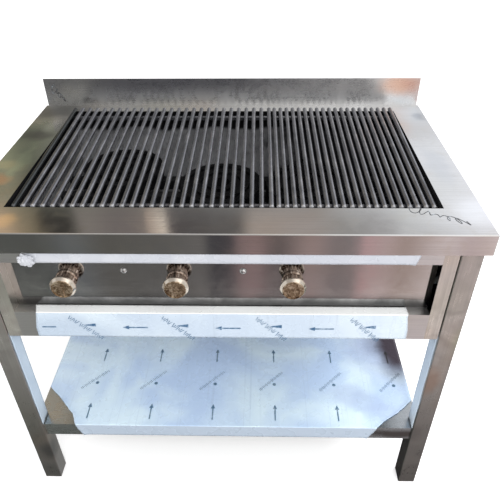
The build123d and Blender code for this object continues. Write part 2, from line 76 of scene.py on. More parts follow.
class Nodes:
    """A node tree under construction, with short calls for the nodes it uses."""

    def __init__(self, tree, coordinates):
        self.tree = tree
        self.place = tree.nodes.new("ShaderNodeTexCoord").outputs[coordinates]

    def put(self, socket, value):
        """Sets a node's input, or links it if the value is another node's output."""
        if isinstance(value, bpy.types.NodeSocket):
            self.tree.links.new(value, socket)
        else:
            socket.default_value = value

    def stretched(self, scale, turn=(0, 0, 0)):
        """The tree's coordinates, turned and times a scale for each axis."""
        node = self.tree.nodes.new("ShaderNodeMapping")
        node.inputs["Scale"].default_value = scale
        node.inputs["Rotation"].default_value = turn
        self.tree.links.new(self.place, node.inputs["Vector"])
        return node.outputs["Vector"]

    def noise(self, place, scale=1.0, detail=3.0, roughness=0.5, distortion=0.0):
        """Noise of about 0..1 at a place."""
        node = self.tree.nodes.new("ShaderNodeTexNoise")
        self.tree.links.new(place, node.inputs["Vector"])
        node.inputs["Scale"].default_value = scale
        node.inputs["Detail"].default_value = detail
        node.inputs["Roughness"].default_value = roughness
        node.inputs["Distortion"].default_value = distortion
        return node.outputs["Fac"]

    def part(self, axis):
        """One of the tree's coordinates."""
        node = self.tree.nodes.new("ShaderNodeSeparateXYZ")
        self.tree.links.new(self.place, node.inputs["Vector"])
        return node.outputs[axis]

    def spread(self, value, low, high, to_low=0.0, to_high=1.0):
        """Maps low..high of a value smoothly onto another range."""
        node = self.tree.nodes.new("ShaderNodeMapRange")
        node.interpolation_type = "SMOOTHSTEP"
        for name, number in (("From Min", low), ("From Max", high),
                             ("To Min", to_low), ("To Max", to_high)):
            node.inputs[name].default_value = number
        self.put(node.inputs["Value"], value)
        return node.outputs["Result"]

    def spread_linear(self, value, low, high):
        """Maps low..high of a value in a straight line onto 0..1."""
        return self.math("DIVIDE", self.math("SUBTRACT", value, low), high - low)

    def math(self, operation, first, second=0.0):
        """Result of one Math node."""
        node = self.tree.nodes.new("ShaderNodeMath")
        node.operation = operation
        self.put(node.inputs[0], first)
        self.put(node.inputs[1], second)
        return node.outputs["Value"]

    def mix(self, factor, first, second):
        """First colour at factor 0, second at 1."""
        node = self.tree.nodes.new("ShaderNodeMix")
        node.data_type = "RGBA"
        self.put(node.inputs["Factor"], factor)
        for socket, colour in ((node.inputs[6], first), (node.inputs[7], second)):
            self.put(socket, colour if isinstance(colour, bpy.types.NodeSocket)
                     else (*colour, 1.0))
        return node.outputs[2]

    def ramp(self, factor, *stops):
        """Colour ramp from (position, colour) stops."""
        node = self.tree.nodes.new("ShaderNodeValToRGB")
        node.color_ramp.interpolation = "EASE"
        elements = node.color_ramp.elements
        while len(elements) < len(stops):
            elements.new(0.5)
        for element, (position, colour) in zip(elements, stops):
            element.position = position
            element.color = (*colour, 1.0)
        self.put(node.inputs["Fac"], factor)
        return node.outputs["Color"]

    def bump(self, height, distance, strength=1.0, normal=None):
        """Normal bent by a height, on top of another normal if one is given."""
        node = self.tree.nodes.new("ShaderNodeBump")
        node.inputs["Distance"].default_value = distance
        node.inputs["Strength"].default_value = strength
        self.tree.links.new(height, node.inputs["Height"])
        if normal is not None:
            self.tree.links.new(normal, node.inputs["Normal"])
        return node.outputs["Normal"]


class Shader(Nodes):
    """A Principled material under construction, in the object's coordinates."""

    def __init__(self, name, **sockets):
        self.material = bpy.data.materials.new(name)
        self.material.use_nodes = True
        super().__init__(self.material.node_tree, "Object")
        self.bsdf = self.tree.nodes["Principled BSDF"]
        for socket, value in sockets.items():
            self.bsdf.inputs[socket.replace("_", " ")].default_value = value
        self.swirl = None

    def brushed(self, grain):
        """Stretches reflections across the grain, as brushing along an axis does."""
        node = self.tree.nodes.new("ShaderNodeTangent")
        node.direction_type = "RADIAL"
        node.axis = grain.upper()
        self.tree.links.new(node.outputs["Tangent"], self.bsdf.inputs["Tangent"])
        self.bsdf.inputs["Anisotropic"].default_value = BRUSHING

    def vector_math(self, operation, *values):
        """Vector node with constants and other nodes' outputs as its inputs."""
        node = self.tree.nodes.new("ShaderNodeVectorMath")
        node.operation = operation
        for socket, value in zip(node.inputs, values):
            self.put(socket, value)
        return node

    def warped(self):
        """Object coordinates pushed about by up to 30 mm, or 10 mm in height. Made once."""
        if self.swirl is None:
            node = self.tree.nodes.new("ShaderNodeTexNoise")
            self.tree.links.new(self.place, node.inputs["Vector"])
            node.inputs["Scale"].default_value = 13.0
            node.inputs["Detail"].default_value = 3.0
            shift = self.vector_math("ADD", self.place, tuple(-reach for reach in SWIRL_REACH))
            span = tuple(2 * reach for reach in SWIRL_REACH)
            offset = self.vector_math("MULTIPLY_ADD", node.outputs["Color"], span,
                                      shift.outputs["Vector"])
            self.swirl = offset.outputs["Vector"]
        return self.swirl

    def near(self, centre, radii):
        """1 at a centre, falling smoothly to 0 at the radii along the three axes."""
        node = self.tree.nodes.new("ShaderNodeMapping")
        node.vector_type = "TEXTURE"
        node.inputs["Location"].default_value = centre
        node.inputs["Scale"].default_value = radii
        self.tree.links.new(self.warped(), node.inputs["Vector"])
        length = self.vector_math("LENGTH", node.outputs["Vector"])
        return self.spread(length.outputs["Value"], 0.0, 1.0, 1.0, 0.0)

    def finish(self, colour=None, roughness=None, normal=None):
        """Links what is given to the shader and returns the material."""
        for name, value in (("Base Color", colour), ("Roughness", roughness),
                            ("Normal", normal)):
            if value is not None:
                self.tree.links.new(value, self.bsdf.inputs[name])
        return self.material


# ------------------------------------------------------------------ materials
def darker(colour, share):
    """A colour at a share of its brightness, or of each channel if share is a colour."""
    shares = share if isinstance(share, tuple) else (share,) * 3
    return tuple(channel * part for channel, part in zip(colour, shares))


GRAIN = {"x": (3, 700, 700), "y": (700, 3, 700), "z": (700, 700, 3)}   # streaks per metre
WARM_REFLECTION_TINT, GREEN_REFLECTION_TINT = (0.92, 0.70, 0.50), (0.72, 0.76, 0.60)     # painted reflection tints for the steel's clouds
# Painted shade: near-black for firebox parts that lie in shade.
SHADE_BLACK = (0.02, 0.02, 0.022)
DEEP_SHADE_BLACK = (0.006, 0.006, 0.007)


def stainless(name, grain, tone, roughness, tint, dents, seed=0.0, right=None, dulled_at=(),
              patches=(), fray=0.10):
    """Brushed stainless, its grain along an axis. tint is the strength of its brown and green
    clouds, a painted reflection tint, dents is how far the sheet buckles, and right is its tone at
    the cook's right, if that differs, a painted reflection of the brighter light there. dulled_at
    lists rougher places: centre, radii and how much rougher. patches are painted reflections and
    painted shade: each a centre, radii, colour and strength; fray is how ragged their edges are."""
    s = Shader(name, Metallic=1.0)
    s.brushed(grain)
    shifted = s.stretched((1, 1, 1), turn=(seed, seed * 0.7, 0))
    base = tone
    # Painted reflection: towards the cook's right the tone turns to right, as the steel there
    # mirrors brighter light.
    if right is not None:
        base = s.mix(s.spread(s.part("X"), deck_lo.x * 0.5, deck_hi.x), tone, right)
    # Painted reflections: brown and green clouds tint the steel as if it mirrored a room.
    clouds = s.noise(shifted, 3.5, 3, 0.5, 0.5)
    warm = s.mix(s.spread(clouds, 0.50, 0.72, 0, tint), base, darker(tone, WARM_REFLECTION_TINT))
    greens = s.noise(shifted, 2.3, 2, 0.5, 0.3)
    tinted = s.mix(s.spread(greens, 0.52, 0.72, 0, tint), warm, darker(tone, GREEN_REFLECTION_TINT))
    streaks = s.noise(s.stretched(GRAIN[grain]), 1.0, 3, 0.6)
    streaked = s.mix(s.spread(streaks, 0.35, 0.7, 0.0, 0.14), tinted, (0.25, 0.25, 0.26))
    smudges = s.noise(shifted, 14, 6, 0.65, 1.2)
    dulled = s.mix(s.spread(smudges, 0.55, 0.8, 0.0, 0.10), streaked, (0.30, 0.29, 0.27))
    # Painted reflections and painted shade, each a soft patch of colour.
    for centre, radii, colour, strength in patches:
        frayed = s.math("ADD", s.near(centre, radii), s.spread(smudges, 0.3, 0.7, -fray, fray))
        dulled = s.mix(s.spread(frayed, 0.0, 1.0, 0.0, strength), dulled, colour)
    low, high = roughness
    rough = s.math("ADD", s.spread(smudges, 0.35, 0.75, low, high),
                   s.spread(streaks, 0.3, 0.7, 0.0, 0.05))
    for centre, radii, amount in dulled_at:
        rough = s.math("ADD", rough, s.math("MULTIPLY", s.near(centre, radii), amount))
    grained = s.bump(streaks, 0.00003, 0.5)
    buckled = s.bump(s.noise(shifted, 3.0, 1.5, 0.4), 0.003 * dents, 1.0, grained)
    return s.finish(dulled, rough, buckled)


def plain_steel(name, base, roughness, mottle):
    """Unpolished metal with a mottled tone."""
    s = Shader(name, Metallic=1.0)
    spots = s.noise(s.place, mottle, 6, 0.65)
    colour = s.mix(s.spread(spots, 0.35, 0.65), darker(base, 0.55), base)
    rough = s.spread(s.noise(s.place, mottle * 2.3, 4), 0.3, 0.7, *roughness)
    return s.finish(colour, rough, s.bump(s.noise(s.place, mottle * 9, 3), 0.0003, 0.6))


def bar_iron():
    """Drawn bars: dark mill scale with lighter rubbed streaks along their length, a painted
    highlight at the front ends and painted shade on the cook's far left."""
    s = Shader("bar_iron", Metallic=0.85)
    front_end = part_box("grate_left")[0].y
    # The bars on the cook's far left get painted shade.
    shade_until, unshaded_from = deck_lo.x + 0.116, deck_lo.x + 0.132
    streaks = s.noise(s.stretched((150, 6, 150)), 1.0, 5, 0.6)
    patches = s.noise(s.place, 20, 5, 0.6)
    base = s.ramp(streaks, (0.25, (0.095, 0.098, 0.11)), (0.55, (0.205, 0.21, 0.23)),
                  (0.8, (0.38, 0.385, 0.42)))
    worn = s.mix(s.spread(patches, 0.45, 0.75, 0, 0.55), base, (0.40, 0.40, 0.42))
    # Painted highlight: the front ends made lighter.
    ends = s.spread(s.part("Y"), front_end + 0.003, front_end + 0.012, 0.45, 0.0)
    end_highlighted = s.mix(ends, worn, (0.80, 0.80, 0.82))
    # Painted shade: the far-left bars darkened.
    left_shaded = s.mix(s.spread(s.part("X"), shade_until, unshaded_from, 0.8, 0.0), end_highlighted,
                   (0.03, 0.036, 0.034))
    rough = s.spread(streaks, 0.3, 0.7, 0.20, 0.34)
    return s.finish(left_shaded, rough, s.bump(s.noise(s.place, 240, 4), 0.0002, 0.4))


def cast_iron():
    """Rough black sand casting, painted near-black as the shade under the grates."""
    s = Shader("cast_iron", Metallic=0.0, Specular_IOR_Level=0.15)
    grains = s.noise(s.place, 420, 4, 0.7)
    blotches = s.noise(s.place, 18, 4, 0.6)
    # Near-black, darker than bare cast iron: painted shade.
    colour = s.ramp(blotches, (0.3, (0.006, 0.006, 0.007)), (0.7, (0.014, 0.014, 0.015)))
    rust = s.mix(s.spread(s.noise(s.place, 35, 5), 0.62, 0.8, 0, 0.3), colour,
                 (0.04, 0.022, 0.014))
    return s.finish(rust, s.spread(grains, 0.3, 0.7, 0.75, 0.95), s.bump(grains, 0.0007, 0.7))


def firebox_sheet(name, pale, shaded_above=None, shaded_right=None):
    """Dull hot-box sheet, with painted shade: blackened above a height and to the right of an X if
    they are given.
    """
    fade_width, fade_height = 0.2, 0.008
    s = Shader(name, Metallic=0.15, Specular_IOR_Level=0.3)
    clouds = s.noise(s.place, 9, 5, 0.6, 0.4)
    flecks = s.noise(s.stretched((160, 50, 50)), 1.0, 4, 0.65)
    colour = s.mix(s.spread(clouds, 0.35, 0.68), darker(pale, 0.6), pale)
    colour = s.mix(s.spread(flecks, 0.45, 0.7, 0.0, 0.55), colour, darker(pale, 0.3))
    # Painted shade to the right of an X and above a height.
    if shaded_right is not None:
        border = s.math("ADD", s.part("X"), s.spread(clouds, 0.3, 0.7, -0.09, 0.09))
        colour = s.mix(s.spread(border, shaded_right, shaded_right + fade_width), colour, SHADE_BLACK)
    if shaded_above is not None:
        ragged = s.spread(s.noise(s.place, 12, 4), 0.3, 0.7, -0.01, 0.01)
        edge = s.math("ADD", s.part("Z"), ragged)
        colour = s.mix(s.spread(edge, shaded_above - fade_height, shaded_above + fade_height),
                       colour, DEEP_SHADE_BLACK)
    rough = s.spread(s.noise(s.place, 40, 4), 0.3, 0.7, 0.45, 0.7)
    return s.finish(colour, rough, s.bump(s.noise(s.place, 160, 4), 0.0002, 0.5))


def aged_brass(name, light, dark):
    """Polished brass that has browned in its hollows."""
    s = Shader(name, Metallic=1.0)
    patina = s.noise(s.place, 70, 5, 0.6, 0.8)
    colour = s.mix(s.spread(patina, 0.48, 0.72, 0, 0.6), light, dark)
    rough = s.spread(s.noise(s.place, 90, 4), 0.35, 0.7, 0.12, 0.32)
    return s.finish(colour, rough, s.bump(s.noise(s.place, 300, 3), 0.0002, 0.35))


def knob_brass(name):
    """Knob: bright polished cone, mottled brown face and a barrel browned in streaks."""
    face_from, face_to = 0.0014, 0.0024         # depths behind the knob's foremost point
    barrel_from, barrel_to = 0.0125, 0.0165
    s = Shader(f"{name}_brass", Metallic=1.0)
    behind_face = s.math("SUBTRACT", s.part("Y"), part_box(name)[0].y)
    shine = s.mix(s.spread(s.noise(s.place, 90, 4, 0.6), 0.45, 0.7, 0, 0.45),
                  (0.95, 0.86, 0.76), (0.66, 0.53, 0.40))
    mottle = s.ramp(s.noise(s.place, 130, 4, 0.6, 0.8), (0.36, (0.20, 0.13, 0.08)),
                    (0.50, (0.52, 0.38, 0.25)), (0.64, (0.92, 0.78, 0.60)))
    streaks = s.ramp(s.noise(s.stretched((170, 12, 170)), 1.0, 4, 0.6),
                     (0.35, (0.06, 0.045, 0.035)), (0.52, (0.34, 0.26, 0.21)),
                     (0.68, (0.85, 0.74, 0.66)))
    past_face = s.spread(behind_face, face_from, face_to)
    fronted = s.mix(past_face, mottle, shine)
    colour = s.mix(s.spread(behind_face, barrel_from, barrel_to), fronted, streaks)
    rough = s.mix(past_face, (0.42,) * 3, (0.12,) * 3)
    return s.finish(colour, rough, s.bump(s.noise(s.place, 300, 3), 0.0002, 0.35))


def add_seams(s, colour, deep, start, pitch):
    """Fine dark lines front to back, the first at an X and the rest a pitch apart."""
    line_width, strength = 0.006, 0.35          # width as a share of the pitch
    turns = s.math("DIVIDE", s.math("SUBTRACT", s.part("X"), start), pitch)
    from_seam = s.math("PINGPONG", turns, 0.5)
    return s.mix(s.spread(from_seam, 0.0, line_width, strength, 0.0), colour, darker(deep, 0.6))


def paint_fold_light_and_shade(s, colour, height, upper, lower):
    """Painted light above and painted shade below a height where the film turns a corner; None for
    no change.
    """
    step = 0.001
    if upper is not None:
        colour = s.mix(s.spread(s.part("Z"), height - step, height), colour, upper)
    if lower is not None:
        colour = s.mix(s.spread(s.part("Z"), height - 2 * step, height - step), lower, colour)
    return colour


def film_plastic(name, pale, deep, roughness=(0.22, 0.36), shaded=(), fold=None, creases=0.3,
                 coat=0.3, seams=None):
    """Peel-off film stuck to steel: pale bluish plastic, cloudy where air is trapped, with fine
    creases painted as darker lines of shade. shaded lists painted reflections and painted shade,
    patches where it is darker, each a centre, radii, colour and strength. fold and seams are what
    paint_fold_light_and_shade and add_seams take after the colours."""
    s = Shader(name, Metallic=0.12, Coat_Weight=coat, Coat_Roughness=0.15, IOR=1.5)
    clouds = s.noise(s.place, 4.5, 3, 0.5, 0.5)
    colour = s.mix(s.spread(clouds, 0.35, 0.7), deep, pale)
    # Painted shade: the creases are darker lines in the film's colour.
    lines = s.noise(s.stretched((120, 1.5, 4)), 1.0, 2, 0.5)
    lined = s.mix(s.spread(lines, 0.60, 0.74, 0, creases), colour, darker(deep, 0.72))
    if seams is not None:
        lined = add_seams(s, lined, deep, *seams)
    # Painted reflections and painted shade, patch by patch.
    for centre, radii, tone, strength in shaded:
        lined = s.mix(s.spread(s.near(centre, radii), 0.0, 0.8, 0, strength), lined, tone)
    # Painted light above and painted shade below the film's bend, where given.
    if fold is not None:
        lined = paint_fold_light_and_shade(s, lined, *fold)
    bubbles = s.noise(s.place, 30, 2, 0.4)
    rough = s.spread(bubbles, 0.3, 0.7, *roughness)
    return s.finish(lined, rough, s.bump(bubbles, 0.0002, 0.05))


def film_ink(name, colour, dark=None):
    """Faded ink or grease pencil; dark is a centre and radii of a painted dark reflection, where
    the ink is darkened with it.
    """
    s = Shader(name)
    patches = s.noise(s.place, 120, 4, 0.6)
    faded = tuple(0.55 * c + 0.45 * w for c, w in zip(colour, (0.7, 0.8, 0.9)))
    ink = s.mix(s.spread(patches, 0.45, 0.75), colour, faded)
    # Painted dark reflection over the ink.
    if dark is not None:
        ink = s.mix(s.spread(s.near(*dark), 0.0, 0.6), ink, (0.012, 0.012, 0.016))
    return s.finish(ink, s.spread(patches, 0.3, 0.7, 0.3, 0.5))


# ------------------------------------------------------------------ mesh helpers
FILM_THICKNESS = 0.00012


def mesh_from(name, bm):
    """Turns a finished bmesh into a mesh and frees it."""
    mesh = bpy.data.meshes.new(name)
    bm.to_mesh(mesh)
    bm.free()
    return mesh


def new_piece(name, mesh, material, body="stand", smooth=True):
    """Links a finished mesh as a piece that rides on a body."""
    piece = bpy.data.objects.new(name, mesh)
    scene.collection.objects.link(piece)
    mesh.materials.append(material)
    for polygon in mesh.polygons:
        polygon.use_smooth = smooth
    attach(piece, body)
    return piece


def surface(name, point_at, columns, rows, thickness):
    """Sheet mesh from a function of (u, v) in 0..1, thickened behind its face."""
    bm = bmesh.new()
    grid = [[bm.verts.new(point_at(i / columns, j / rows)) for i in range(columns + 1)]
            for j in range(rows + 1)]
    for j in range(rows):
        for i in range(columns):
            bm.faces.new((grid[j][i], grid[j][i + 1], grid[j + 1][i + 1], grid[j + 1][i]))
    bm.normal_update()
    faces = list(bm.faces)
    bmesh.ops.solidify(bm, geom=faces, thickness=thickness)
    return mesh_from(name, bm)


def wrinkle(x, y, scale, seed=0.0):
    """Smooth noise in -1..1."""
    return noise.noise(Vector((x * scale, y * scale, seed)))


# ------------------------------------------------------------------ protective film
def lookup(table, value):
    """Straight-line interpolation in a list of (position, result) pairs, lowest first."""
    if value <= table[0][0]:
        return table[0][1]
    for (a, fa), (b, fb) in zip(table, table[1:]):
        if value <= b:
            return fa + (fb - fa) * (value - a) / (b - a)
    return table[-1][1]


shelf_lo, shelf_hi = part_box("undershelf")
shelf_lip = shelf_hi.z - shelf_lo.z
# Edge of the film by the distance from the shelf's front fold; negative is down the lip.
TEAR_LEFT = [(-0.048, -0.420), (-0.037, -0.427), (0.0, -0.440), (0.037, -0.457),
             (0.051, -0.472), (0.087, -0.504), (0.128, -0.546), (0.14, -0.56)]
TEAR_RIGHT = [(-0.048, 0.408), (-0.037, 0.416), (0.0, 0.434), (0.022, 0.459),
              (0.051, 0.502), (0.072, 0.527), (0.094, 0.549), (0.103, 0.56)]


def shelf_film_point(x, along):
    """Point on the shelf's film; along is the distance behind the front fold."""
    lift = 0.0005 + 0.0004 * (1 + wrinkle(x, along, 9, 3.0))
    lift += 0.0007 * max(0.0, wrinkle(x * 2.4, along * 0.3, 14, 8.0) - 0.25)
    if along >= 0:
        return Vector((x, shelf_lo.y + along - 0.0004, shelf_hi.z + lift))
    return Vector((x, shelf_lo.y - lift, shelf_hi.z + along))


def shelf_film_edges(along):
    """Left and right limits of the film at a distance behind the front fold."""
    left_torn_to, right_torn_to = TEAR_LEFT[-2][0], TEAR_RIGHT[-2][0]
    ragged = 0.0022 * wrinkle(along, 0.0, 55, 1.0) + 0.0012 * wrinkle(along, 0.0, 190, 2.0)
    left = lookup(TEAR_LEFT, along) + (ragged if along < left_torn_to else 0)
    right = lookup(TEAR_RIGHT, along) - (ragged if along < right_torn_to else 0)
    side_edge = shelf_hi.x - 0.0004
    return max(left, -side_edge), min(right, side_edge)


def make_shelf_film(material):
    """Film over the shelf and its front lip, torn off at both front corners."""
    rear_gap, lip_gap = 0.045, 0.0015
    curl_until, curl_width = 0.12, 0.006        # the torn edges lift over these distances
    depth = shelf_hi.y - shelf_lo.y - rear_gap
    down = shelf_lip - lip_gap
    fold_rows, lip_rows, top_rows = 3, 10, 90
    stations = [-down + down * i / lip_rows for i in range(lip_rows)]
    stations += [0.0009 * i / fold_rows for i in range(fold_rows)]
    stations += [0.001 + (depth - 0.001) * (i / top_rows) ** 1.4 for i in range(top_rows + 1)]

    def point(u, v):
        along = stations[round(v * (len(stations) - 1))]
        left, right = shelf_film_edges(along)
        x = left + (right - left) * u
        place = shelf_film_point(x, along)
        near_tear = 0.0
        if along < curl_until:
            near_tear = math.exp(-min(x - left, right - x) / curl_width)
        curl = 0.0022 * near_tear * (1 + wrinkle(x, along, 40, 5.0))
        if along >= 0:
            place.z += curl
        else:
            place.y -= curl
        return place

    mesh = surface("film_shelf", point, 150, len(stations) - 1, -FILM_THICKNESS)
    return new_piece("film_shelf", mesh, material)


rail_lo, rail_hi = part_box("lower_front_rail")
# Ends of the rail's film by the distance below the ledge's front fold.
RAIL_LEFT = [(-0.027, -0.453), (0.0, -0.444), (0.050, -0.455)]
RAIL_RIGHT = [(-0.027, 0.446), (-0.006, 0.448), (0.004, 0.4455), (0.050, 0.453)]


def rail_film_point(x, down):
    """Point on the lower rail's film; down is the distance below the ledge's front fold,
    negative on the ledge."""
    lift = 0.0004 + 0.0004 * (1 + wrinkle(x, down, 12, 11.0))
    lift += 0.0008 * max(0.0, wrinkle(x * 0.5, down * 3, 10, 14.0) - 0.2)
    if down <= 0:
        return Vector((x, rail_lo.y - down, rail_hi.z + lift))
    return Vector((x, rail_lo.y - lift, rail_hi.z - down))


def make_lower_rail_film(material):
    """Film over the ledge and the face of the lower rail."""
    ledge = 0.0272
    face = rail_hi.z - rail_lo.z - 0.001
    stations = [-ledge + ledge * i / 8 for i in range(8)] + [-0.0006, 0.0, 0.0006]
    stations += [0.001 + (face - 0.001) * i / 16 for i in range(17)]

    def point(u, v):
        down = stations[round(v * (len(stations) - 1))]
        ragged = 0.001 * wrinkle(down, 0.0, 60, 21.0)
        left, right = lookup(RAIL_LEFT, down) + ragged, lookup(RAIL_RIGHT, down) - ragged
        return rail_film_point(left + (right - left) * u, down)

    mesh = surface("film_lower_rail", point, 130, len(stations) - 1, FILM_THICKNESS)
    return new_piece("film_lower_rail", mesh, material)


upper_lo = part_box("upper_front_rail")[0]


def make_upper_rail_film(material):
    """Strip of film on the upper rail, torn off at a slant at its right end."""
    low, high = upper_lo.z + 0.001, deck_lo.z + 0.012
    left, right_top, slant = -0.43, 0.449, 0.012

    def point(u, v):
        right = right_top - slant * (1 - v)
        x = left + (right - left) * u
        z = low + (high - low) * v
        lift = 0.0005 + 0.0005 * (1 + wrinkle(x, z * 0.2, 9, 31.0))
        lift += 0.0025 * math.exp(-(right - x) / 0.01)
        return Vector((x, upper_lo.y - lift, z))

    mesh = surface("film_upper_rail", point, 140, 8, FILM_THICKNESS)
    return new_piece("film_upper_rail", mesh, material)


def make_film_crumple(material):
    """Loose end of the upper rail's film, balled up at its left end."""
    centre = Vector((-0.4275, upper_lo.y - 0.006, upper_lo.z + 0.011))
    half_size = Vector((0.0195, 0.0075, 0.0175))
    bm = bmesh.new()
    bmesh.ops.create_icosphere(bm, subdivisions=5, radius=1.0)
    for vert in bm.verts:
        n = vert.co.normalized()
        folds = sum(abs(noise.noise(n * k + Vector((k, 0, 4.0)))) / k for k in (1.5, 3.1, 7.0))
        radius = 0.66 + 0.85 * folds
        vert.co = centre + n * half_size * radius
    return new_piece("film_crumple", mesh_from("film_crumple", bm), material)


def make_leg_film(side, material):
    """Film left on the inner face of a front leg, from under the rail to the shelf."""
    leg_lo, leg_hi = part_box(f"leg_front_{side}")
    inner, inward = (leg_hi.x, 1) if side == "left" else (leg_lo.x, -1)
    bottom, top = shelf_hi.z + 0.004, rail_lo.z - 0.004
    y0, y1 = leg_lo.y + 0.004, leg_hi.y - 0.003

    def point(u, v):
        z = bottom + (top - bottom) * v
        ragged = 0.004 * wrinkle(u, 0, 3, 41.0) * (1 - v)
        lift = 0.0006 + 0.0005 * (1 + wrinkle(u, v, 5, 43.0))
        return Vector((inner + inward * lift, y0 + (y1 - y0) * u, z + ragged))

    thickness = FILM_THICKNESS if side == "left" else -FILM_THICKNESS
    mesh = surface(f"film_leg_{side}", point, 8, 60, thickness)
    return new_piece(f"film_leg_{side}", mesh, material)


# ------------------------------------------------------------------ print on the film
PRINT_START, PRINT_PITCH, PRINT_ROWS = -0.412, 0.1847, 0.2235     # on the shelf
RAIL_PITCH = 0.227
PRINT_LIFT = 0.00035        # print above the film, enough to keep the two apart


def arrow_shapes(length):
    """Arrow pointing along +v from the origin, as polygons in (u, v)."""
    shaft, head, head_length = 0.0019, 0.0066, 0.016
    neck = length - head_length
    return [[(-shaft, 0), (shaft, 0), (shaft, neck), (-shaft, neck)],
            [(-head, neck), (head, neck), (0, length)]]


def tick_shapes(dart=False):
    """A slanting row of thin ticks, where a real film carries print, and a dot or a dart."""
    shapes = []
    start, end, ticks = Vector((-0.046, -0.023)), Vector((0.027, 0.050)), 22
    along = (end - start).normalized()
    across = Vector((-along.y, along.x))
    tall, wide = (0.0056, 0.0009) if dart else (0.0042, 0.0008)
    for i in range(ticks):
        if dart and i % 8 == 7:
            continue
        middle = start.lerp(end, (i + 0.5) / ticks)
        half = tall * (1 + 0.4 * math.sin(i * 2.4))
        lean = 0.3 * math.sin(i * 1.7) if dart else 0.0
        shapes.append([tuple(middle + along * (a * wide + b * lean * half) + across * b * half)
                       for a, b in ((-1, -1), (1, -1), (1, 1), (-1, 1))])
    if dart:
        shapes.append([(-0.0055, -0.012), (0.0055, -0.012), (0.0025, 0.006), (0, 0.018),
                       (-0.0025, 0.006)])
        return shapes
    dot = 0.0056
    shapes.append([(dot * math.cos(a * math.pi / 4), dot * math.sin(a * math.pi / 4))
                   for a in range(8)])
    return shapes


def make_print(name, marks, point_at, outward, material, inside=lambda u, v: True):
    """Flat marks laid a hair above the film, on the side that outward points to; marks are
    (polygons, offset) in film coordinates. Shapes not wholly inside the film are left out."""
    bm = bmesh.new()
    for shapes, (u0, v0) in marks:
        for shape in shapes:
            if not all(inside(u0 + u, v0 + v) for u, v in shape):
                continue
            corners = []
            for u, v in shape:
                place = point_at(u0 + u, v0 + v)
                corners.append(bm.verts.new(place + outward * PRINT_LIFT))
            bm.faces.new(corners)
    bmesh.ops.recalc_face_normals(bm, faces=list(bm.faces))
    return new_piece(name, mesh_from(name, bm), material, smooth=False)


def make_shelf_print(material):
    """Arrows and rows of ticks across the shelf's film."""
    marks = []
    for row in range(3):
        for column in range(6):
            x = PRINT_START + PRINT_PITCH * column
            near = 0.021 + PRINT_ROWS * row
            marks.append((arrow_shapes(0.056), (x, near)))
            marks.append((tick_shapes(), (x, near + 0.133)))

    def inside(x, along):
        left, right = shelf_film_edges(along)
        return left + 0.003 < x < right - 0.003 and along < shelf_hi.y - shelf_lo.y - 0.06

    return make_print("film_shelf_print", marks, shelf_film_point, Vector((0, 0, 1)), material,
                      inside)


def make_rail_print(material):
    """Arrows along the lower rail's film, pointing to the cook's left, with rows of ticks."""
    def turned(shapes):
        return [[(-v, -u) for u, v in shape] for shape in shapes]

    arrow_down, ticks_down = 0.047, 0.040       # distances below the ledge
    marks = []
    for i in range(3):
        marks.append((turned(arrow_shapes(0.062)), (-0.179 + RAIL_PITCH * i, arrow_down)))
    for i in range(4):
        marks.append((turned(tick_shapes(dart=True)), (-0.318 + RAIL_PITCH * i, ticks_down)))
    headless = arrow_shapes(0.050)[:1]
    marks.append((turned(headless), (-0.405, arrow_down)))

    def point(x, down):
        return rail_film_point(x, max(down, 0.002))

    return make_print("film_rail_print", marks, point, Vector((0, -1, 0)), material)


def make_scribble(name, point_at, start, end, turns, size, material):
    """Loops of faded grease pencil, standing in for a note somebody wrote on the steel. point_at
    takes flat (u, v) onto the steel."""
    start, end = Vector(start), Vector(end)
    steps, step, half_width = 260, 0.001, 0.0010
    bm = bmesh.new()

    def place(t):
        turn = t * 2 * math.pi * turns
        loop = size * (0.62 + 0.38 * math.sin(t * 9.0 + 0.6))
        return start.lerp(end, t) + Vector((0.7 * loop * math.cos(turn),
                                            loop * math.sin(turn + t * 5)))

    rims = []
    for i in range(steps + 1):
        t = i / steps
        ahead = (place(t + step) - place(t - step)).normalized()
        side = Vector((-ahead.y, ahead.x)) * half_width
        rims.append([bm.verts.new(point_at(*p)) for p in (place(t) + side, place(t) - side)])
    for a, b in zip(rims, rims[1:]):
        bm.faces.new((a[0], a[1], b[1], b[0]))
    return new_piece(name, mesh_from(name, bm), material, smooth=False)


def make_scribbles(material):
    """One note on the deck's right front, one at the left end of the backsplash."""
    lift = 0.0003
    splash_lo, splash_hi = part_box("backsplash")
    make_scribble("deck_scribble", lambda u, v: (u, front + v, deck_hi.z + lift),
                  (0.432, 0.108), (0.552, 0.046), 6.5, 0.013, material)
    make_scribble("splash_scribble", lambda u, v: (u, splash_lo.y - lift, splash_hi.z + v),
                  (-0.566, -0.028), (-0.538, -0.066), 3.5, 0.012, material)


# ------------------------------------------------------------------ materials onto the CAD nodes
def paint(material, *names):
    """Gives CAD nodes their material."""
    for name in names:
        data = nodes[name].data
        data.materials.clear()
        data.materials.append(material)


def three(name):
    """Names of the three alike nodes, from the cook's left."""
    return [f"{name}_{place}" for place in ("left", "centre", "right")]


def on_deck(x, setback):
    """Point on the deck, behind its front edge."""
    return (x, front + setback, deck_hi.z)


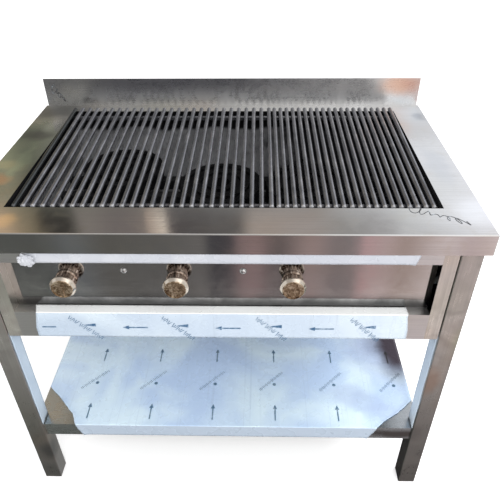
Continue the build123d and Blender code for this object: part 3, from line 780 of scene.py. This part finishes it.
def paint_deck():
    """Deck brushed to a near mirror, with painted reflections of a room in its colour, lighter
    towards the right, and dulled at the rear.
    """
    flat = 0.05         # painted reflections reach this far down, so they stay off the folded edge
    # Painted reflections: soft patches in the tones a room shows in the steel.
    painted_reflections = [(on_deck(-0.56, 0.45), (0.12, 0.40, flat), (0.74, 0.78, 0.64), 0.7),
              (on_deck(-0.578, 0.235), (0.08, 0.06, flat), (1.0, 0.64, 0.46), 1.0),
              (on_deck(-0.575, 0.315), (0.09, 0.05, flat), (1.0, 0.92, 0.70), 0.8),
              (on_deck(-0.540, 0.34), (0.025, 0.16, flat), (0.92, 0.98, 0.80), 0.7),
              (on_deck(-0.555, 0.51), (0.09, 0.07, flat), (0.30, 0.27, 0.28), 0.8),
              (on_deck(-0.530, 0.575), (0.04, 0.08, flat), (0.95, 0.95, 0.88), 0.8),
              (on_deck(-0.54, 0.69), (0.20, 0.12, flat), (0.19, 0.19, 0.18), 0.9),
              (on_deck(-0.475, 0.050), (0.06, 0.05, flat), (1.0, 0.84, 0.62), 0.8),
              (on_deck(0.582, 0.645), (0.04, 0.05, flat), (0.34, 0.34, 0.37), 0.8),
              (on_deck(0.555, 0.66), (0.09, 0.14, flat), (0.74, 0.82, 0.90), 0.5),
              (on_deck(0.55, 0.32), (0.05, 0.18, flat), (0.62, 0.64, 0.68), 0.6),
              (on_deck(0.58, 0.10), (0.10, 0.10, flat), (0.95, 0.97, 1.0), 0.7)]
    dulled = [(on_deck(0.56, 0.68), (0.22, 0.36, 1), 0.45),
              (on_deck(-0.56, 0.70), (0.22, 0.20, 1), 0.35)]
    # right is a painted reflection, lighter towards the cook's right.
    paint(stainless("deck_steel", "x", (0.62, 0.61, 0.59), (0.04, 0.10), tint=0.3, dents=0.3,
                    right=(0.78, 0.78, 0.79), patches=painted_reflections, dulled_at=dulled), "top_deck")


def paint_splash():
    """Backsplash, with painted reflections: dark along its top, pale along its foot and warm at its
    right end, and lighter towards the right.
    """
    splash_lo, splash_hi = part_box("backsplash")

    def on_splash(x, below_top):
        return (x, splash_lo.y, splash_hi.z - below_top)

    # Painted reflections along the top, along the foot and at the right end.
    painted_reflections = [(on_splash(-0.20, 0.006), (0.70, 1, 0.055), (0.30, 0.30, 0.33), 0.85),
              (on_splash(0.10, 0.075), (1.8, 1, 0.05), (0.98, 0.99, 1.0), 0.95),
              (on_splash(0.53, 0.020), (0.11, 1, 0.06), (1.0, 0.68, 0.54), 1.0)]
    paint(stainless("backsplash_steel", "x", (0.66, 0.66, 0.68), (0.22, 0.32), tint=0.1,
                    dents=1.0, seed=1.3, right=(1.0, 0.99, 0.99), patches=painted_reflections, fray=0.03),
          "backsplash")


def paint_front():
    """Control panel, with painted shade along its foot, and the two rails; both turn lighter
    towards the right, a painted reflection.
    """
    panel_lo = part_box("control_panel")[0]
    # Painted shade: a dark band along the panel's foot.
    foot = ((0, panel_lo.y, panel_lo.z), (40.0, 1.0, 0.055), (0.10, 0.10, 0.10), 1.0)
    paint(stainless("panel_steel", "x", (0.57, 0.56, 0.56), (0.05, 0.11), tint=0.12, dents=0.2,
                    seed=2.1, right=(0.69, 0.675, 0.665), patches=[foot]), "control_panel")
    paint(stainless("rail_steel", "x", (0.84, 0.83, 0.82), (0.30, 0.42), tint=0.15, dents=0.4,
                    seed=0.6, right=(0.95, 0.94, 0.96)), "upper_front_rail", "lower_front_rail")


def paint_uprights():
    """Legs, with a few painted reflections on the front pair, and the corner strips beside them."""
    leg_lo, leg_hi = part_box("leg_front_right")
    y = leg_lo.y
    # Painted reflections on the front legs: warm, green, dark and pale patches.
    painted_reflections = [((leg_lo.x, y, 0.47), (0.06, 0.06, 0.10), (0.62, 0.45, 0.36), 0.7),
              ((leg_hi.x, y, 0.62), (0.04, 0.06, 0.07), (0.60, 0.66, 0.50), 0.6),
              ((leg_lo.x, y, 0.25), (0.06, 0.06, 0.06), (0.36, 0.34, 0.33), 0.6),
              ((-leg_lo.x, y, 0.14), (0.07, 0.08, 0.07), (0.26, 0.26, 0.26), 0.8),
              ((-leg_hi.x, y, 0.72), (0.06, 0.06, 0.12), (0.80, 0.84, 0.76), 0.5)]
    finish = dict(grain="z", roughness=(0.26, 0.40), tint=0.3, dents=0.3, seed=3.3)
    paint(stainless("leg_steel", tone=(0.62, 0.60, 0.58), patches=painted_reflections, **finish),
          "leg_front_left", "leg_front_right", "leg_rear_left", "leg_rear_right",
          "leg_base_plates")
    paint(stainless("strip_steel", tone=(0.86, 0.84, 0.80), **finish),
          "front_strip_left", "front_strip_right")


def paint_sides_and_shelf():
    """Side and rear sheets, the frame tubes and the shelf, whose lip has a painted dark reflection
    at its right end; the shelf turns lighter towards the right, a painted reflection.
    """
    paint(stainless("side_steel", "y", (0.60, 0.59, 0.58), (0.30, 0.38), tint=0.1, dents=0.12,
                    seed=4.2),
          "side_panel_left", "side_panel_right", "rear_panel", "frame_rail_left",
          "frame_rail_right", "frame_rail_rear")
    # Painted dark reflection at the right end of the shelf's lip.
    lip = ((0.52, shelf_lo.y, shelf_hi.z - 0.026), (0.30, 0.06, 0.030), (0.16, 0.15, 0.15), 1.0)
    paint(stainless("shelf_steel", "x", (0.50, 0.53, 0.52), (0.22, 0.34), tint=0.08, dents=0.3,
                    seed=5.1, right=(0.56, 0.60, 0.64), patches=[lip]),
          "undershelf", "shelf_stiffener")


def paint_firebox():
    """Walls, tray, supports, burners and grates."""
    grey_sheet = (0.46, 0.46, 0.48)
    # Painted shade: the tray's right part, the tops of the left and rear walls, the rear wall's
    # right part, the whole right wall, the supports and the burner bars are blackened where the box
    # lies in shade.
    left_shade_from, rear_shade_from = deck_hi.z - 0.05, deck_hi.z - 0.059
    paint(firebox_sheet("tray_sheet", grey_sheet, shaded_right=-0.02),
          "grease_tray", "tray_runner_left", "tray_runner_right")
    paint(firebox_sheet("firebox_steel", grey_sheet), "firebox_front_wall")
    paint(firebox_sheet("firebox_left_steel", grey_sheet, left_shade_from), "firebox_left_wall")
    paint(firebox_sheet("firebox_right_steel", SHADE_BLACK), "firebox_right_wall")
    paint(firebox_sheet("firebox_rear_steel", grey_sheet, rear_shade_from, shaded_right=0.05),
          "firebox_rear_wall")
    paint(firebox_sheet("shade_black_angle", SHADE_BLACK), "grate_support_front", "grate_support_rear",
          "grate_support_left", "grate_support_right", "burner_bar_front", "burner_bar_rear")
    paint(bar_iron(), "grate_left", "grate_right")
    paint(cast_iron(), *three("burner"))


def paint_gas_train():
    """Pipes, valves, knobs and small fittings."""
    paint(plain_steel("zinc_plate", (0.55, 0.56, 0.57), (0.3, 0.45), mottle=60),
          "gas_manifold", "manifold_brackets", "manifold_u_bolts", "u_bolt_nuts",
          "panel_screw_nuts", "air_shutters", *three("valve_stem"))
    paint(aged_brass("valve_brass", (0.72, 0.52, 0.22), (0.42, 0.27, 0.10)),
          *three("valve"), "gas_jets", "manifold_cap", "gas_inlet")
    for name in three("knob"):
        paint(knob_brass(name), name)
    paint(plain_steel("pipe_aluminium", (0.7, 0.7, 0.72), (0.25, 0.4), mottle=80),
          *three("supply_pipe"))
    paint(plain_steel("screw_chrome", (0.85, 0.85, 0.86), (0.12, 0.2), mottle=90),
          "panel_screws")


def paint_frame():
    """Gives every CAD node its material."""
    paint_deck()
    paint_splash()
    paint_front()
    paint_uprights()
    paint_sides_and_shelf()
    paint_firebox()
    paint_gas_train()


# ------------------------------------------------------------------ floor and light
def flat_sheet(name, x0, x1, y0, y1, z):
    """Horizontal rectangle for the floor or a card."""
    bm = bmesh.new()
    bm.faces.new([bm.verts.new((x, y, z)) for x, y in ((x0, y0), (x1, y0), (x1, y1), (x0, y1))])
    sheet = bpy.data.objects.new(name, mesh_from(name, bm))
    scene.collection.objects.link(sheet)
    return sheet


def make_floor():
    """Plain pale floor; the steel mirrors the world instead of it."""
    half = 12.0
    floor = flat_sheet("floor", -half, half, -half, half, 0)
    floor.visible_glossy = False
    s = Shader("floor_paint", Emission_Color=(1, 1, 1, 1), Emission_Strength=0.32)
    tone = s.mix(s.spread(s.noise(s.place, 1.5, 3), 0.3, 0.7), (0.90, 0.90, 0.905),
                 (0.93, 0.93, 0.93))
    floor.data.materials.append(
        s.finish(tone, s.spread(s.noise(s.place, 30, 2), 0.3, 0.7, 0.8, 0.9)))


# What the steel mirrors: tones by sideways slope, from the cook's left to the right. The upright
# faces see the front and the ground, and the deck sees the two skies behind. They are set so
# that each sheet shows the light and dark bands of the real one.
FRONT_TONES = ((-0.9, (0.16, 0.16, 0.15)), (-0.48, (0.12, 0.125, 0.12)),
               (-0.42, (0.18, 0.19, 0.20)), (-0.34, (0.145, 0.14, 0.13)),
               (-0.20, (0.155, 0.15, 0.145)), (-0.125, (0.185, 0.175, 0.17)),
               (-0.105, (0.075, 0.072, 0.08)), (-0.06, (0.085, 0.078, 0.085)),
               (-0.04, (0.30, 0.22, 0.22)), (-0.01, (0.33, 0.235, 0.235)),
               (0.04, (0.16, 0.135, 0.135)), (0.12, (0.38, 0.29, 0.28)),
               (0.18, (0.26, 0.22, 0.22)), (0.22, (0.27, 0.23, 0.23)),
               (0.235, (0.56, 0.37, 0.37)), (0.29, (0.52, 0.40, 0.385)),
               (0.32, (0.42, 0.32, 0.285)), (0.42, (0.70, 0.60, 0.585)),
               (0.46, (0.58, 0.465, 0.455)), (0.6, (1.0, 0.9, 0.88)))
SKY_TONES = ((-0.75, (0.5, 0.40, 0.28)), (-0.57, (0.72, 0.53, 0.36)), (-0.50, (0.30, 0.25, 0.17)),
             (-0.46, (0.06, 0.055, 0.05)), (-0.41, (0.06, 0.055, 0.05)),
             (-0.385, (0.30, 0.27, 0.25)), (-0.30, (0.23, 0.20, 0.195)),
             (-0.248, (0.28, 0.24, 0.22)), (-0.24, (0.60, 0.48, 0.40)),
             (-0.206, (0.95, 0.84, 0.72)), (-0.196, (0.15, 0.13, 0.13)),
             (-0.17, (0.12, 0.11, 0.11)),
             (-0.05, (0.15, 0.14, 0.135)), (-0.01, (0.48, 0.42, 0.38)), (0.10, (0.46, 0.42, 0.40)),
             (0.2, (0.38, 0.37, 0.36)), (0.29, (0.46, 0.45, 0.45)), (0.32, (0.62, 0.62, 0.62)),
             (0.5, (0.72, 0.72, 0.73)), (0.7, (1.0, 1.02, 1.05)))
LOW_SKY_TONES = ((-0.75, (0.55, 0.44, 0.28)), (-0.62, (0.22, 0.21, 0.15)),
                 (-0.52, (0.32, 0.32, 0.24)), (-0.46, (0.16, 0.165, 0.135)),
                 (-0.38, (0.24, 0.24, 0.21)), (-0.2, (0.20, 0.20, 0.20)),
                 (0.1, (0.35, 0.35, 0.35)), (0.22, (0.75, 0.76, 0.78)), (0.32, (0.95, 0.97, 1.0)),
                 (0.6, (1.1, 1.1, 1.15)))
REAR_LOW_TONES = ((-0.6, (0.02, 0.02, 0.02)), (-0.2, (0.03, 0.03, 0.03)),
                  (0.4, (0.24, 0.25, 0.24)), (0.9, (0.3, 0.3, 0.3)))
GROUND_TONES = ((-0.8, (1.15, 1.18, 1.10)), (-0.45, (1.05, 1.07, 1.0)),
                (-0.3, (0.60, 0.60, 0.59)), (0.2, (0.9, 0.82, 0.80)), (0.35, (2.0, 1.9, 1.88)),
                (0.45, (1.4, 1.28, 1.24)), (0.7, (1.3, 1.2, 1.15)))


def mirrored_view(s):
    """Colour of the world in each direction, for reflections: dark at the left, bright right."""
    x, y, z = (s.part(axis) for axis in "XYZ")
    depth = s.math("ADD", s.math("ABSOLUTE", y), 0.02)
    slope = s.math("DIVIDE", x, depth)
    climb = s.math("DIVIDE", z, depth)

    def tones(table):
        lowest, highest = table[0][0], table[-1][0]
        return s.ramp(s.spread_linear(slope, lowest, highest),
                      *[((t - lowest) / (highest - lowest), colour) for t, colour in table])

    # Behind the object: floor, low sky and high sky, whose border rises to the right.
    rightward = s.math("MAXIMUM", s.math("SUBTRACT", slope, 0.25), 0.0)
    lifted = s.math("SUBTRACT", climb, s.math("MULTIPLY", rightward, 0.29))
    behind_high = s.mix(s.spread(lifted, 0.585, 0.62), tones(LOW_SKY_TONES), tones(SKY_TONES))
    overhead = s.mix(s.spread(z, 0.80, 0.93), behind_high, (1.3, 1.3, 1.32))
    behind = s.mix(s.spread(climb, -0.15, 0.0), tones(REAR_LOW_TONES), overhead)

    # In front: the ground near the object, darker close to it, and the light above.
    ground = tones(GROUND_TONES)
    shaded = s.mix(s.spread(climb, -1.22, -0.90), (0.0, 0.0, 0.0), ground)
    near_ground = s.mix(0.93, ground, shaded)
    low_front = s.mix(s.spread(climb, -0.93, -0.86), near_ground, tones(FRONT_TONES))
    front_light = s.mix(s.spread(x, -0.3, 0.5), (0.40, 0.39, 0.38), (1.2, 1.18, 1.15))
    ahead = s.mix(s.spread(climb, -0.25, 0.1), low_front, front_light)

    # Straight to the sides, where the slopes run away, a plain grey.
    lengthwise = s.mix(s.spread(y, -0.02, 0.02), ahead, behind)
    sideways = s.spread(s.math("ABSOLUTE", x), 0.70, 0.88)
    return s.mix(sideways, lengthwise, (0.62, 0.62, 0.61))


def make_world():
    """Even white light, with a view of its own for reflections."""
    white = (1.0, 1.0, 1.0)
    world = bpy.data.worlds.new("studio")
    scene.world = world
    world.use_nodes = True
    s = Nodes(world.node_tree, "Generated")
    rays = s.tree.nodes.new("ShaderNodeLightPath")
    seen = s.mix(rays.outputs["Is Glossy Ray"], white, mirrored_view(s))
    s.tree.links.new(seen, s.tree.nodes["Background"].inputs["Color"])


def make_light(name, place, target, size, power):
    """Soft rectangular light aimed at a point, hidden from reflections."""
    data = bpy.data.lights.new(name, "AREA")
    data.shape = "RECTANGLE"
    data.size, data.size_y = size
    data.energy = power
    light = bpy.data.objects.new(name, data)
    scene.collection.objects.link(light)
    light.location = place
    aim = Vector(target) - Vector(place)
    light.rotation_euler = aim.to_track_quat("-Z", "Y").to_euler()
    light.visible_glossy = False


def make_stage():
    """Floor, world, lights and the plain colour transform."""
    make_floor()
    make_world()
    make_light("key_light", (2.4, 0.9, 2.6), (-0.1, 0, 0.7), (1.4, 1.2), 70)
    make_light("front_light", (0.6, -2.4, 3.0), (0.1, front, 0.6), (2.2, 1.2), 60)
    scene.view_settings.view_transform = "Standard"


# ------------------------------------------------------------------ build
def make_films():
    """The four sorts of film, and what is printed on two of them."""
    top = shelf_hi.z
    dark_reflection_patch = ((0.57, front + 0.34, top), (0.15, 0.26, 0.1))    # a painted dark reflection
    # Painted reflections on the shelf's film: bluish hazes and bands, and the dark patch.
    shelf_painted_reflections = [((0.51, front + 0.38, top), (0.22, 0.30, 0.1), (0.44, 0.50, 0.70), 0.5),
                    (*dark_reflection_patch, (0.035, 0.025, 0.04), 1.0),
                    ((0.37, front + 0.135, top), (0.11, 0.06, 0.1), (0.46, 0.56, 0.76), 0.5),
                    ((0.42, front + 0.10, top), (0.11, 0.06, 0.1), (0.42, 0.52, 0.72), 0.5),
                    ((0.47, front + 0.065, top), (0.11, 0.06, 0.1), (0.42, 0.52, 0.72), 0.5)]
    # Painted shade: the lower rail's film darker at its left end.
    rail_painted_shade = [((-0.46, rail_lo.y, rail_lo.z), (0.45, 0.1, 0.12), (0.42, 0.50, 0.60), 0.8)]
    # Painted light: the rail film's ledge top is near white.
    rail = film_plastic("film", (0.63, 0.71, 0.77), (0.48, 0.56, 0.66),
                        shaded=rail_painted_shade, fold=(rail_hi.z, (0.98, 1.0, 1.0), None))
    leg = film_plastic("film_on_legs", (0.68, 0.77, 0.85), (0.54, 0.63, 0.73), (0.5, 0.6),
                       creases=0.0, coat=0.0)
    # Painted shade: the shelf film's lip is darker.
    shelf = film_plastic("film_on_shelf", (0.74, 0.90, 1.0), (0.52, 0.67, 0.90),
                         shaded=shelf_painted_reflections, fold=(top, None, (0.40, 0.47, 0.56)),
                         seams=(PRINT_START + PRINT_PITCH / 2, PRINT_PITCH))
    white = film_plastic("film_white", (0.60, 0.61, 0.64), (0.46, 0.48, 0.53), creases=0.1)
    make_shelf_film(shelf)
    make_lower_rail_film(rail)
    make_upper_rail_film(white)
    make_film_crumple(white)
    for side in ("left", "right"):
        make_leg_film(side, leg)
    make_shelf_print(film_ink("ink_dark", (0.05, 0.13, 0.22), dark_reflection_patch))
    make_rail_print(film_ink("ink_blue", (0.03, 0.10, 0.20)))


make_camera()
make_stage()
paint_frame()
make_films()
make_scribbles(film_ink("grease_pencil", (0.05, 0.05, 0.055)))
